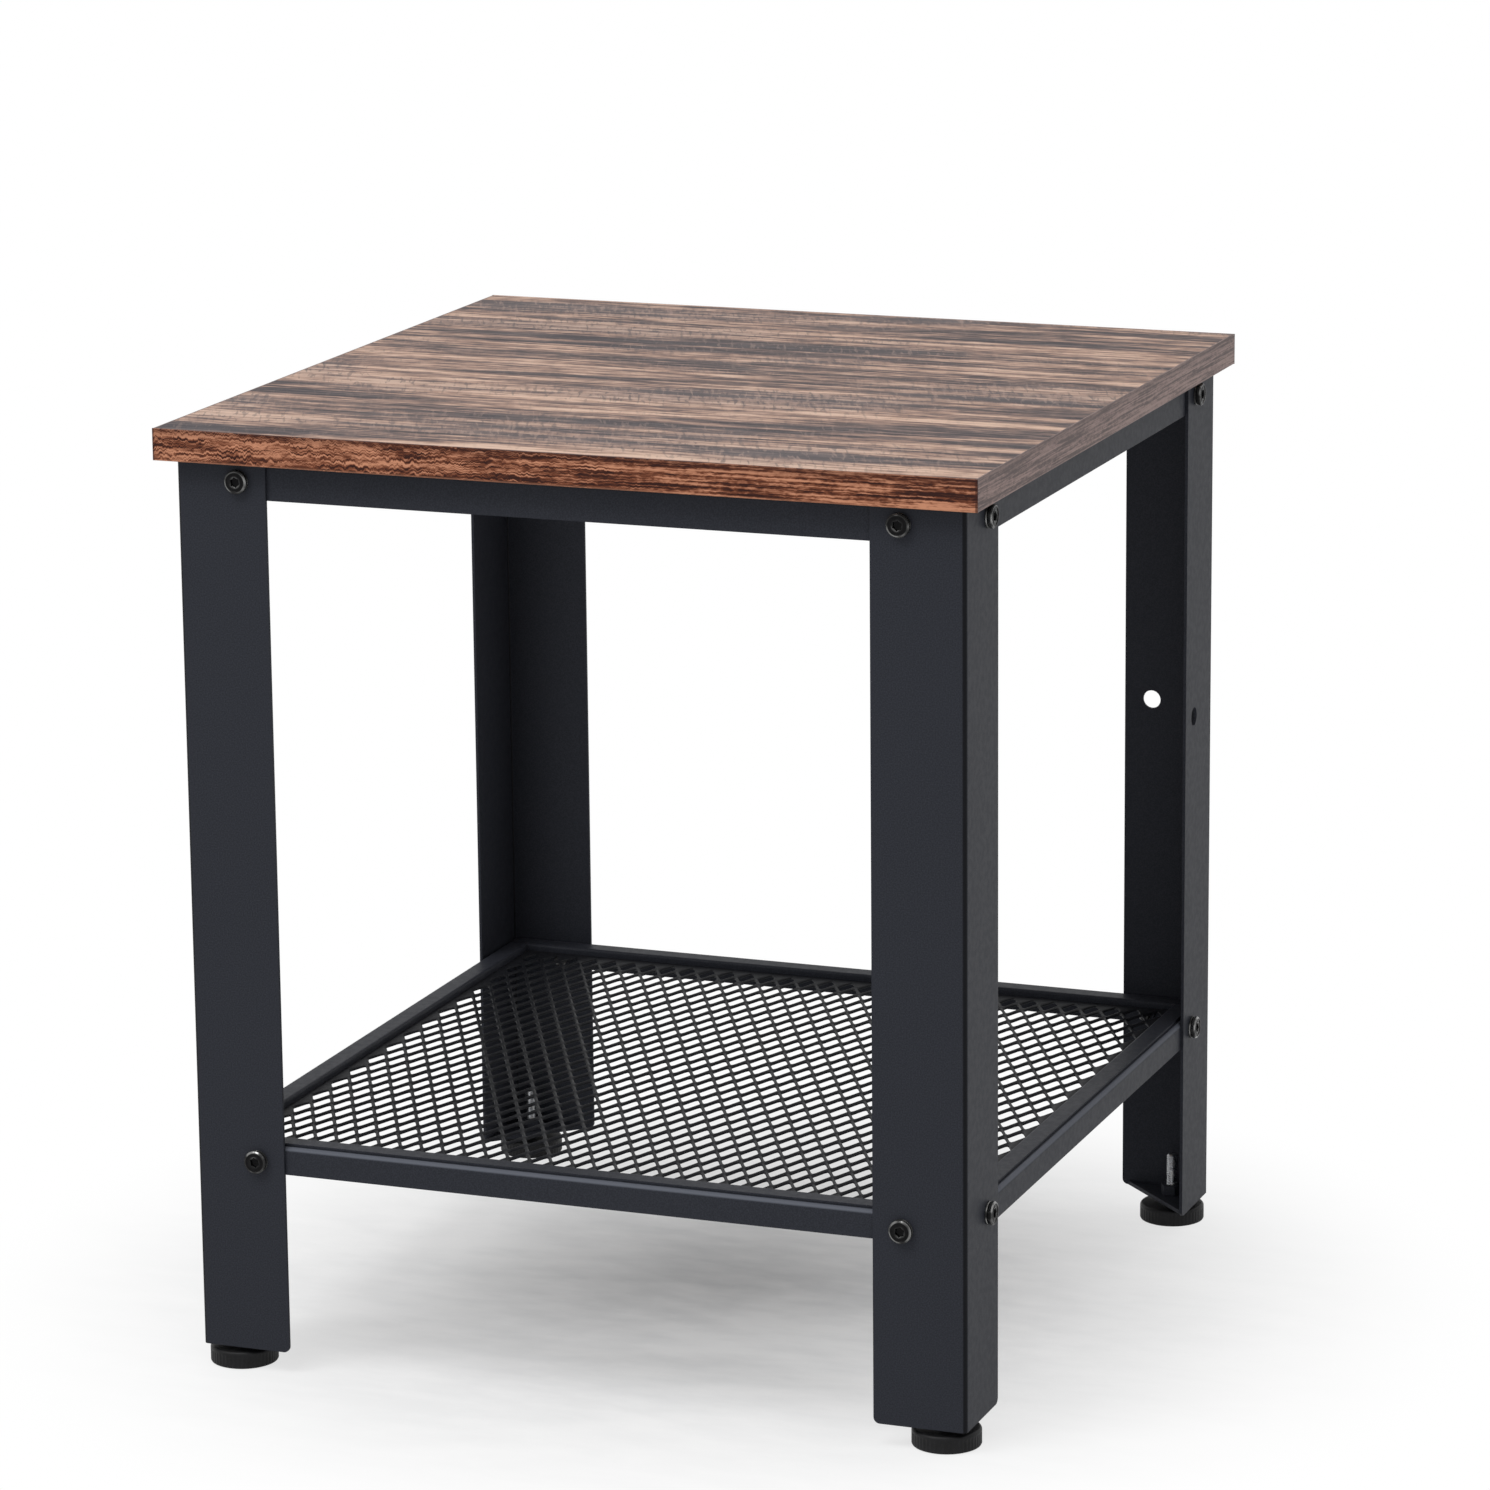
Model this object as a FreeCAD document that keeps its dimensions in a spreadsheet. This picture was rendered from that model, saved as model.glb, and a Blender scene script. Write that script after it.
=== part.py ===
import FreeCAD, Part
import math
import os
from types import SimpleNamespace

import Sketcher

# A square end table. A banded board lies on four folded sheet legs, which are tied together by folded
# rails under the board and by a second set of rails that carries an expanded-metal shelf. Every leg
# stands on a levelling foot. The origin is on the floor under the middle of the board, +Z is up and
# the front faces -Y. Lengths are in millimetres.

SIZES = {
    "table_height": 455,
    "board_width": 400,
    "board_depth": 400,
    "board_thick": 15,
    "band_thick": 1.0,
    "band_round": 0.5,
    "board_overhang": 8,
    "leg_flange": 45,
    "leg_sheet": 1.5,
    "leg_bend": 2.5,
    "leg_corner": 3,
    "bolt_inset": 31,
    "bolt_shank": 6,
    "bolt_length": 12,
    "bolt_tip": 0.6,
    "bolt_head": 11,
    "bolt_head_high": 3.3,
    "bolt_head_round": 2.0,
    "socket_flats": 4,
    "socket_deep": 2,
    "bolt_clearance": 0.2,
    "bush_outer": 8.4,
    "bush_length": 5,
    "thread_clearance": 0.05,
    "spare_hole": 9.2,
    "spare_height": 268,
    "rail_sheet": 1.5,
    "rail_bend": 2.4,
    "corner_gap": 2,
    "top_rail_high": 17.5,
    "top_rail_flange": 20,
    "top_bolt_drop": 9,
    "screw_spread": 200,
    "screw_inset": 12,
    "screw_shank": 4,
    "screw_deep": 11,
    "screw_tip": 2,
    "screw_head": 8,
    "screw_head_high": 2.4,
    "screw_slot_long": 4.4,
    "screw_slot_wide": 1.2,
    "screw_slot_deep": 1.2,
    "screw_clearance": 0.05,
    "shelf_height": 99,
    "shelf_rail_high": 13.4,
    "shelf_rail_flange": 11.5,
    "front_bolt_rise": 5.8,
    "side_bolt_rise": 8.2,
    "bush_room": 3,
    "rim_setback": 3,
    "rim_width": 10,
    "rim_sheet": 1.2,
    "rim_bend": 1.5,
    "rim_depth": 4.5,
    "mesh_thick": 1.0,
    "mesh_pitch_wide": 11,
    "mesh_pitch_long": 22,
    "mesh_strand": 2.0,
    "mesh_knuckle": 7,
    "mesh_border": 1.0,
    "foot_inset": 14.5,
    "foot_gap": 2.5,
    "plate_thick": 2,
    "plate_corner": 2,
    "nut_flats": 10,
    "nut_high": 5,
    "stud_shank": 6,
    "stud_length": 28,
    "stud_tip": 0.8,
    "stud_head": 14,
    "stud_head_thick": 3,
    "stud_clearance": 0.05,
    "pad_outer": 32.5,
    "pad_high": 8.5,
    "pad_floor": 3,
    "pad_top_round": 2,
    "pad_bottom_round": 1,
}

SIDE_TURNS = {"front": 0, "right": 90, "back": 180, "left": 270}
LEG_TURNS = {"front_left": 0, "front_right": 90, "back_right": 180, "back_left": 270}
SPARE_CORNER = "back_right"
MESH_BAND_COLUMNS = 3
UP = FreeCAD.Vector(0, 0, 1)

doc = FreeCAD.newDocument("end_table")
sheet = doc.addObject("Spreadsheet::Sheet", "Sizes")
for row, (alias, length) in enumerate(SIZES.items(), start=1):
    sheet.set(f"A{row}", alias.replace("_", " "))
    sheet.set(f"B{row}", str(length))
    sheet.setAlias(f"B{row}", alias)
doc.recompute()


class Size:
    """A length that keeps the formula it was worked out with, so that a feature can be bound to it."""

    def __init__(self, formula, value):
        self.formula = formula
        self.value = value

    def joined(self, sign, other, value):
        other_formula = other.formula if isinstance(other, Size) else repr(other)
        return Size(f"({self.formula} {sign} {other_formula})", value)

    def __add__(self, other):
        return self.joined("+", other, self.value + value_of(other))

    def __sub__(self, other):
        return self.joined("-", other, self.value - value_of(other))

    def __mul__(self, other):
        return self.joined("*", other, self.value * value_of(other))

    def __truediv__(self, other):
        return self.joined("/", other, self.value / value_of(other))

    def __neg__(self):
        return Size(f"(-1 * {self.formula})", -self.value)


def value_of(distance):
    return distance.value if isinstance(distance, Size) else distance


def bind(target, attribute, distance):
    """Ties one attribute of an object to a formula on the sheet."""
    target.setExpression(attribute, distance.formula)


size = SimpleNamespace(**{alias: Size(f"Sizes.{alias}", float(sheet.get(alias))) for alias in SIZES})

# Places shared by several pieces.
leg_face_x = size.board_width / 2 - size.board_overhang
leg_face_y = size.board_depth / 2 - size.board_overhang
inner_x = leg_face_x - size.leg_sheet
inner_y = leg_face_y - size.leg_sheet
board_bottom = size.table_height - size.board_thick
leg_bottom = size.pad_high + size.foot_gap
leg_length = board_bottom - leg_bottom
bolt_hole = size.bolt_shank + size.bolt_clearance * 2
top_bolt_height = board_bottom - size.top_bolt_drop
front_bolt_height = size.shelf_height + size.front_bolt_rise
side_bolt_height = size.shelf_height + size.side_bolt_rise
shelf_rail_top = size.shelf_height + size.shelf_rail_high
rim_top = shelf_rail_top + size.rim_sheet
rim_inner = size.rim_setback + size.rim_width
rim_bottom = rim_top - size.rim_depth


def new_body(label):
    body = doc.addObject("PartDesign::Body", label)
    body.Label = label
    return body


def sketch_on(body, plane, name):
    """Starts a sketch on one of the body's own origin planes."""
    sketch = body.newObject("Sketcher::SketchObject", name)
    flat = next(feature for feature in body.Origin.OriginFeatures if feature.Role == plane)
    sketch.AttachmentSupport = [(flat, "")]
    sketch.MapMode = "FlatFace"
    return sketch


def pin_point(sketch, geometry, point, x, y):
    """Fixes a point of a sketch by its distances from the sketch's origin."""
    upright_axis, level_axis = -2, -1
    for kind, axis, distance in (("DistanceX", upright_axis, x), ("DistanceY", level_axis, y)):
        if not isinstance(distance, Size):
            sketch.addConstraint(Sketcher.Constraint("PointOnObject", geometry, point, axis))
            continue
        index = sketch.addConstraint(Sketcher.Constraint(kind, -1, 1, geometry, point, distance.value))
        name = f"{kind}_{geometry}"
        sketch.renameConstraint(index, name)
        sketch.setExpression(f"Constraints.{name}", distance.formula)


def polygon(sketch, corners):
    """Adds a closed outline. A coordinate is a Size, or 0 for a corner on an axis."""
    first = sketch.GeometryCount
    count = len(corners)
    points = [FreeCAD.Vector(value_of(x), value_of(y), 0) for x, y in corners]
    for index in range(count):
        sketch.addGeometry(Part.LineSegment(points[index], points[(index + 1) % count]), False)
    for index in range(count):
        following = first + (index + 1) % count
        sketch.addConstraint(Sketcher.Constraint("Coincident", first + index, 2, following, 1))
    for index, (x, y) in enumerate(corners):
        pin_point(sketch, first + index, 1, x, y)


def rectangle(sketch, x_low, x_high, y_low, y_high):
    polygon(sketch, [(x_low, y_low), (x_high, y_low), (x_high, y_high), (x_low, y_high)])


def hexagon(sketch, flats):
    """Adds a hexagon about the sketch's origin, from its width across flats."""
    corner = flats / math.sqrt(3)
    polygon(sketch, [
        (corner, 0), (corner / 2, flats / 2), (-corner / 2, flats / 2),
        (-corner, 0), (-corner / 2, -flats / 2), (corner / 2, -flats / 2),
    ])


def circle(sketch, x, y, diameter):
    center = FreeCAD.Vector(value_of(x), value_of(y), 0)
    index = sketch.addGeometry(Part.Circle(center, UP, diameter.value / 2), False)
    pin_point(sketch, index, 3, x, y)
    constraint = sketch.addConstraint(Sketcher.Constraint("Diameter", index, diameter.value))
    name = f"Diameter_{index}"
    sketch.renameConstraint(constraint, name)
    sketch.setExpression(f"Constraints.{name}", diameter.formula)


def pad(body, sketch, length, side="One side"):
    feature = body.newObject("PartDesign::Pad", f"{body.Label}_pad")
    feature.Profile = sketch
    feature.SideType = side
    bind(feature, "Length", length)


def cut_through(body, sketch):
    """Cuts a sketch through all of the body, to both sides of its plane."""
    feature = body.newObject("PartDesign::Pocket", f"{body.Label}_cut")
    feature.Profile = sketch
    feature.Type = "ThroughAll"
    feature.SideType = "Symmetric"


def cut_to_depth(body, sketch, depth, upwards=False):
    feature = body.newObject("PartDesign::Pocket", f"{body.Label}_pocket")
    feature.Profile = sketch
    feature.Reversed = upwards
    bind(feature, "Length", depth)


def revolve(body, sketch):
    """Turns a half outline about the sketch's upright axis."""
    feature = body.newObject("PartDesign::Revolution", f"{body.Label}_turned")
    feature.Profile = sketch
    feature.ReferenceAxis = (sketch, ["V_Axis"])
    feature.Angle = 360


def same(first, second):
    return abs(first - second) < 1e-6


def round_edges(body, radius, chosen):
    """Rounds the edges of the body's last feature for which chosen(edge) is true."""
    doc.recompute()
    base = body.Tip
    names = [f"Edge{i}" for i, edge in enumerate(base.Shape.Edges, start=1) if chosen(edge)]
    feature = body.newObject("PartDesign::Fillet", f"{body.Label}_round")
    feature.Base = (base, names)
    bind(feature, "Radius", radius)


def straight_at(**places):
    """Chooses edges whose ends both lie at the given x, y or z."""
    def chosen(edge):
        return all(
            same(getattr(vertex, axis.upper()), value_of(place))
            for vertex in edge.Vertexes for axis, place in places.items()
        )
    return chosen


def ring_at(radius, height):
    """Chooses round edges of the given radius at the given height."""
    def chosen(edge):
        if not isinstance(edge.Curve, Part.Circle):
            return False
        return same(edge.Curve.Radius, value_of(radius)) and same(edge.Curve.Center.z, value_of(height))
    return chosen


def put(node, x, y, z, turn=0):
    """Places a node, turned about the upright axis, with its place tied to the sheet."""
    base = FreeCAD.Vector(value_of(x), value_of(y), value_of(z))
    node.Placement = FreeCAD.Placement(base, FreeCAD.Rotation(UP, turn))
    for axis, distance in (("x", x), ("y", y), ("z", z)):
        if isinstance(distance, Size):
            bind(node, f"Placement.Base.{axis}", distance)


def outward(turn):
    """Whole-number direction of the side that a turn brings to the front."""
    angle = math.radians(turn)
    return round(math.sin(angle)), -round(math.cos(angle))


def put_on_side(node, turn, distance_x, distance_y, z):
    """Places a node made for the front on any side, at that side's distance from the middle."""
    along_x, along_y = outward(turn)
    put(node, distance_x * along_x, distance_y * along_y, z, turn)


nodes = []


# The board's core, with blind holes from below for the screws.
def make_board():
    body = new_body("top_board")
    half_x = size.board_width / 2 - size.band_thick
    half_y = size.board_depth / 2 - size.band_thick
    outline = sketch_on(body, "XY_Plane", "board_outline")
    rectangle(outline, -half_x, half_x, -half_y, half_y)
    pad(body, outline, size.board_thick)
    holes = sketch_on(body, "XY_Plane", "board_holes")
    for x, y in screw_places():
        circle(holes, x, y, size.screw_shank + size.screw_clearance * 2)
    cut_to_depth(body, holes, size.screw_deep + size.screw_clearance, upwards=True)
    put(body, 0, 0, board_bottom)
    nodes.append(body)


def screw_places():
    """Two screws through each top rail."""
    reach_x = inner_x - size.screw_inset
    reach_y = inner_y - size.screw_inset
    places = []
    for sign in (-1, 1):
        for end in (-1, 1):
            places.append((size.screw_spread / 2 * sign, reach_y * end))
            places.append((reach_x * end, size.screw_spread / 2 * sign))
    return places


# Thin bands glued round the core. The front and back ones cover the ends of the side ones.
def make_edge_band(side, turn):
    body = new_body(f"edge_band_{side}")
    on_end = turn % 180 == 0
    half_length = size.board_width / 2 if on_end else size.board_depth / 2 - size.band_thick
    outline = sketch_on(body, "XY_Plane", f"band_outline_{side}")
    rectangle(outline, -half_length, half_length, 0, size.band_thick)
    pad(body, outline, size.board_thick)
    lower = straight_at(y=0, z=0)
    upper = straight_at(y=0, z=size.board_thick)
    corner_low = straight_at(y=0, x=-half_length)
    corner_high = straight_at(y=0, x=half_length)
    chosen = (lower, upper, corner_low, corner_high) if on_end else (lower, upper)
    round_edges(body, size.band_round, lambda edge: any(test(edge) for test in chosen))
    put_on_side(body, turn, size.board_width / 2, size.board_depth / 2, board_bottom)
    nodes.append(body)


# A leg is one sheet folded to an L. Its fold is at the local origin, with the first flange along
# local X and the second along local Y. Each flange has a bolt hole near its top and one at the shelf.
def fold_leg(label, turn, has_spare_holes):
    body = new_body(label)
    flange, gauge = size.leg_flange, size.leg_sheet
    outline = sketch_on(body, "XY_Plane", f"{label}_outline")
    polygon(outline, [(0, 0), (flange, 0), (flange, gauge), (gauge, gauge), (gauge, flange), (0, flange)])
    pad(body, outline, leg_length)
    round_edges(body, size.leg_bend, straight_at(x=0, y=0))
    round_edges(body, size.leg_bend - gauge, straight_at(x=gauge, y=gauge))
    first_end = straight_at(x=flange, z=0)
    second_end = straight_at(y=flange, z=0)
    round_edges(body, size.leg_corner, lambda edge: first_end(edge) or second_end(edge))
    first_faces_front = turn % 180 == 0
    for plane in ("XZ_Plane", "YZ_Plane"):
        faces_front = first_faces_front == (plane == "XZ_Plane")
        shelf_bolt_height = front_bolt_height if faces_front else side_bolt_height
        holes = sketch_on(body, plane, f"{label}_holes_{plane}")
        circle(holes, size.bolt_inset, top_bolt_height - leg_bottom, bolt_hole)
        circle(holes, size.bolt_inset, shelf_bolt_height - leg_bottom, bolt_hole)
        if has_spare_holes:
            circle(holes, size.bolt_inset, size.spare_height - leg_bottom, size.spare_hole)
        cut_through(body, holes)
    put_at_corner(body, turn, 0, leg_bottom)
    return body


# The back right leg has a spare hole in each flange. It is held as two solids that meet along the
# middle of the fold, so that each spare hole lies in a plain plate.
def make_spare_leg(label, turn):
    flange = size.leg_flange
    beyond_fold = {
        "first": [(0, 0), (flange, flange), (0, flange)],
        "second": [(0, 0), (flange, 0), (flange, flange)],
    }
    halves = []
    for name, corners in beyond_fold.items():
        body = fold_leg(f"{label}_{name}_flange", turn, has_spare_holes=True)
        other_side = sketch_on(body, "XY_Plane", f"{label}_{name}_fold")
        polygon(other_side, corners)
        cut_through(body, other_side)
        halves.append(body)
    leg = doc.addObject("Part::Compound", label)
    leg.Label = label
    leg.Links = halves
    return leg


def put_at_corner(node, turn, inset, z):
    """Places a node at a leg's fold, or at the same distance inside both of its outer faces."""
    ahead_x, ahead_y = outward(turn)
    sign_x, sign_y = ahead_x + ahead_y, ahead_y - ahead_x
    put(node, (leg_face_x - inset) * sign_x, (leg_face_y - inset) * sign_y, z, turn)


# A rail is a sheet folded to an L that lies against the inside of two legs. It is made for the front,
# with its outer face on local Y = 0 and its flange at the top, pointing inwards. The front and back
# rails meet the inner faces of the side rails, whose flanges are cut back to clear them.
def make_rail(label, turn, high, flange, cut_back, bottom, bolt_rise, has_screws):
    body = new_body(label)
    gauge = size.rail_sheet
    on_end = turn % 180 == 0
    span = inner_x if on_end else inner_y
    bolt_reach = (leg_face_x if on_end else leg_face_y) - size.bolt_inset
    half_length = span - gauge if on_end else span - size.corner_gap
    outline = sketch_on(body, "YZ_Plane", f"{label}_outline")
    polygon(outline, [
        (0, 0), (gauge, 0), (gauge, high - gauge), (flange, high - gauge), (flange, high), (0, high),
    ])
    pad(body, outline, half_length * 2, "Symmetric")
    round_edges(body, size.rail_bend, straight_at(y=0, z=high))
    round_edges(body, size.rail_bend - gauge, straight_at(y=gauge, z=high - gauge))
    if not on_end:
        ends = sketch_on(body, "XY_Plane", f"{label}_ends")
        rectangle(ends, span - cut_back, span, gauge, flange + gauge)
        rectangle(ends, -span, cut_back - span, gauge, flange + gauge)
        cut_through(body, ends)
    bolt_holes = sketch_on(body, "XZ_Plane", f"{label}_bolt_holes")
    circle(bolt_holes, bolt_reach, bolt_rise, bolt_hole)
    circle(bolt_holes, -bolt_reach, bolt_rise, bolt_hole)
    cut_through(body, bolt_holes)
    if has_screws:
        screw_holes = sketch_on(body, "XY_Plane", f"{label}_screw_holes")
        hole = size.screw_shank + size.bolt_clearance * 2
        circle(screw_holes, size.screw_spread / 2, size.screw_inset, hole)
        circle(screw_holes, -size.screw_spread / 2, size.screw_inset, hole)
        cut_through(body, screw_holes)
    put_on_side(body, turn, inner_x, inner_y, bottom)
    nodes.append(body)


# The shelf's rim is four folded strips on top of the shelf rails. Their outer edge stays back from the
# rail's outer face, and their inner wall turns down to the mesh.
def make_rim(side, turn):
    body = new_body(f"shelf_rim_{side}")
    on_end = turn % 180 == 0
    span = inner_x if on_end else inner_y
    gauge = size.rim_sheet
    wall = rim_inner - gauge
    half_length = span - size.rim_setback if on_end else span - rim_inner
    outline = sketch_on(body, "YZ_Plane", f"rim_outline_{side}")
    polygon(outline, [
        (size.rim_setback, size.rim_depth - gauge), (wall, size.rim_depth - gauge), (wall, 0),
        (rim_inner, 0), (rim_inner, size.rim_depth), (size.rim_setback, size.rim_depth),
    ])
    pad(body, outline, half_length * 2, "Symmetric")
    round_edges(body, size.rim_bend, straight_at(y=rim_inner, z=size.rim_depth))
    round_edges(body, size.rim_bend - gauge, straight_at(y=wall, z=size.rim_depth - gauge))
    if on_end:
        corner = span - wall
        ends = sketch_on(body, "XZ_Plane", f"rim_ends_{side}")
        rectangle(ends, corner, span, -gauge, size.rim_depth - gauge)
        rectangle(ends, -span, -corner, -gauge, size.rim_depth - gauge)
        cut_through(body, ends)
    put_on_side(body, turn, inner_x, inner_y, rim_bottom)
    nodes.append(body)


# The shelf is expanded metal: columns of long six-sided openings, every other column shifted by half a
# pitch, with slanting strands between them. It lies inside the rim, level with the bottom of the rim's
# wall, and its solid border is welded to that wall. The sheet is put together from bands that meet along
# the middle of a strand, so that no face has many openings.
def make_mesh():
    edge_x = (inner_x - rim_inner).value
    edge_y = (inner_y - rim_inner).value
    border = size.mesh_border.value
    pairs = int((edge_x - border) * 2 / size.mesh_pitch_wide.value)
    rows = int((edge_y - border) * 2 / size.mesh_pitch_long.value)
    columns = pairs * 2 - 1
    upwards = FreeCAD.Vector(0, 0, size.mesh_thick.value)
    corners = mesh_opening()
    left = [FreeCAD.Vector(-edge_x, -edge_y, 0), FreeCAD.Vector(-edge_x, edge_y, 0)]
    bands = []
    opening_count = 0
    for first in range(0, columns, MESH_BAND_COLUMNS):
        last = min(first + MESH_BAND_COLUMNS, columns) - 1
        if last < columns - 1:
            right = mesh_strand_line(last, pairs, rows, edge_y)
        else:
            right = [FreeCAD.Vector(edge_x, -edge_y, 0), FreeCAD.Vector(edge_x, edge_y, 0)]
        openings = []
        for column in range(first, last + 1):
            for row in range(column % 2, rows * 2 - 1, 2):
                middle = mesh_place(column, row, pairs, rows)
                openings.append(Part.makePolygon([middle + corner for corner in corners]))
        outline = Part.makePolygon(right + left[::-1] + right[:1])
        bands.append(Part.Face([outline] + openings).extrude(upwards))
        opening_count += len(openings)
        left = right
    mesh = doc.addObject("Part::Feature", "shelf_mesh")
    mesh.Shape = bands[0].multiFuse(bands[1:]).Solids[0]
    put(mesh, 0, 0, rim_bottom)
    nodes.append(mesh)
    print(f"mesh: {opening_count} openings")


def mesh_place(column, row, pairs, rows):
    """Middle of the opening, or of the knuckle, at a column and row counted in half pitches."""
    x = (column + 1 - pairs) * size.mesh_pitch_wide.value / 2
    y = (row + 1 - rows) * size.mesh_pitch_long.value / 2
    return FreeCAD.Vector(x, y, 0)


def mesh_strand_line(column, pairs, rows, edge_y):
    """Zigzag along the middle of the strands between a column and the next, from edge to edge."""
    line = []
    for row in range(rows * 2 - 1):
        has_opening = row % 2 == column % 2
        line.append(mesh_place(column + 1 if has_opening else column, row, pairs, rows))
    low = FreeCAD.Vector(line[0].x, -edge_y, 0)
    high = FreeCAD.Vector(line[-1].x, edge_y, 0)
    return [low] + line + [high]


def mesh_opening():
    """Closed list of corners of one opening, from the pitches, the strand and the knuckle's length."""
    half_wide = size.mesh_pitch_wide.value / 2
    half_long = size.mesh_pitch_long.value / 2
    slant = math.hypot(half_wide, half_long)
    side = half_wide * (1 - size.mesh_strand.value * slant / (2 * half_wide * half_long))
    slope = half_wide / half_long
    tip = half_long - size.mesh_knuckle.value / 2
    tip_side = side - tip * slope
    upper = [(-tip_side, tip), (tip_side, tip), (side, 0)]
    lower = [(tip_side, -tip), (-tip_side, -tip), (-side, 0)]
    return [FreeCAD.Vector(x, y, 0) for x, y in upper + lower + upper[:1]]


# A bolt stands on its own axis, with the underside of its round head at local Z = 0.
def make_bolt():
    body = new_body("bolt")
    shank, head = size.bolt_shank / 2, size.bolt_head / 2
    tip = size.bolt_tip
    outline = sketch_on(body, "XZ_Plane", "bolt_outline")
    polygon(outline, [
        (0, -size.bolt_length), (shank - tip, -size.bolt_length), (shank, tip - size.bolt_length),
        (shank, 0), (head, 0), (head, size.bolt_head_high), (0, size.bolt_head_high),
    ])
    revolve(body, outline)
    round_edges(body, size.bolt_head_round, ring_at(head, size.bolt_head_high))
    socket = sketch_on(body, "XY_Plane", "bolt_socket")
    bind(socket, "AttachmentOffset.Base.z", size.bolt_head_high)
    hexagon(socket, size.socket_flats)
    cut_to_depth(body, socket, size.socket_deep)
    return body


# A threaded bush is welded behind a rail, on the bolt's axis.
def make_bush():
    body = new_body("bush")
    outline = sketch_on(body, "XY_Plane", "bush_outline")
    seat = -(size.leg_sheet + size.rail_sheet + size.bush_length)
    bind(outline, "AttachmentOffset.Base.z", seat)
    circle(outline, 0, 0, size.bush_outer)
    circle(outline, 0, 0, size.bolt_shank + size.thread_clearance * 2)
    pad(body, outline, size.bush_length)
    return body


# A board screw points up, with the top of its head at local Z = 0, under the rail's flange.
def make_screw():
    body = new_body("screw")
    shank, head = size.screw_shank / 2, size.screw_head / 2
    tall = size.rail_sheet + size.screw_deep
    outline = sketch_on(body, "XZ_Plane", "screw_outline")
    polygon(outline, [
        (0, -size.screw_head_high), (head, -size.screw_head_high), (head, 0), (shank, 0),
        (shank, tall - size.screw_tip), (shank / 4, tall), (0, tall),
    ])
    revolve(body, outline)
    reach, thin = size.screw_slot_long / 2, size.screw_slot_wide / 2
    cross = sketch_on(body, "XY_Plane", "screw_cross")
    bind(cross, "AttachmentOffset.Base.z", -size.screw_head_high)
    polygon(cross, [
        (reach, -thin), (reach, thin), (thin, thin), (thin, reach), (-thin, reach), (-thin, thin),
        (-reach, thin), (-reach, -thin), (-thin, -thin), (-thin, -reach), (thin, -reach), (thin, -thin),
    ])
    cut_to_depth(body, cross, size.screw_slot_deep, upwards=True)
    return body


def make_group(label, source, placements):
    """One node that holds a copy of the same piece at each placement."""
    copies = []
    for placement in placements:
        copy = source.Shape.copy()
        copy.Placement = placement
        copies.append(copy)
    group = doc.addObject("Part::Feature", label)
    group.Shape = Part.makeCompound(copies)
    nodes.append(group)


def bolt_placements(front_height, side_height):
    """A bolt's head lies on the outer face of each leg flange and points outwards."""
    placements = []
    head_to_front = FreeCAD.Rotation(FreeCAD.Vector(1, 0, 0), 90)
    for turn in SIDE_TURNS.values():
        on_end = turn % 180 == 0
        reach = (leg_face_x if on_end else leg_face_y).value - size.bolt_inset.value
        face = (leg_face_y if on_end else leg_face_x).value
        height = (front_height if on_end else side_height).value
        to_side = FreeCAD.Rotation(UP, turn)
        for end in (-1, 1):
            place = to_side.multVec(FreeCAD.Vector(reach * end, -face, height))
            placements.append(FreeCAD.Placement(place, to_side.multiply(head_to_front)))
    return placements


def screw_placements():
    height = (board_bottom - size.rail_sheet).value
    still = FreeCAD.Rotation()
    return [FreeCAD.Placement(FreeCAD.Vector(x.value, y.value, height), still) for x, y in screw_places()]


# A three-cornered plate closes the bottom of a leg and carries the foot's nut.
def make_foot_plate(corner, turn):
    body = new_body(f"foot_plate_{corner}")
    gauge = size.leg_sheet
    tip = size.leg_flange - size.leg_corner
    cut = gauge + size.plate_corner
    outline = sketch_on(body, "XY_Plane", f"plate_outline_{corner}")
    polygon(outline, [(cut, gauge), (tip, gauge), (gauge, tip), (gauge, cut)])
    circle(outline, size.foot_inset, size.foot_inset, size.stud_shank + size.bolt_clearance * 2)
    pad(body, outline, size.plate_thick)
    put_at_corner(body, turn, 0, leg_bottom)
    nodes.append(body)


def make_foot_nut(corner, turn):
    body = new_body(f"foot_nut_{corner}")
    outline = sketch_on(body, "XY_Plane", f"nut_outline_{corner}")
    hexagon(outline, size.nut_flats)
    circle(outline, 0, 0, size.stud_shank + size.thread_clearance * 2)
    pad(body, outline, size.nut_high)
    put_at_corner(body, turn, size.foot_inset, leg_bottom + size.plate_thick)
    nodes.append(body)


# The stud's flat head turns inside the pad. Local Z = 0 is the floor.
def make_foot_stud(corner, turn):
    body = new_body(f"foot_stud_{corner}")
    shank, head = size.stud_shank / 2, size.stud_head / 2
    head_bottom = size.pad_floor + size.stud_clearance
    head_top = head_bottom + size.stud_head_thick
    top = head_top + size.stud_length
    outline = sketch_on(body, "XZ_Plane", f"stud_outline_{corner}")
    polygon(outline, [
        (0, head_bottom), (head, head_bottom), (head, head_top), (shank, head_top),
        (shank, top - size.stud_tip), (shank - size.stud_tip, top), (0, top),
    ])
    revolve(body, outline)
    put_at_corner(body, turn, size.foot_inset, 0)
    nodes.append(body)


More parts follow.
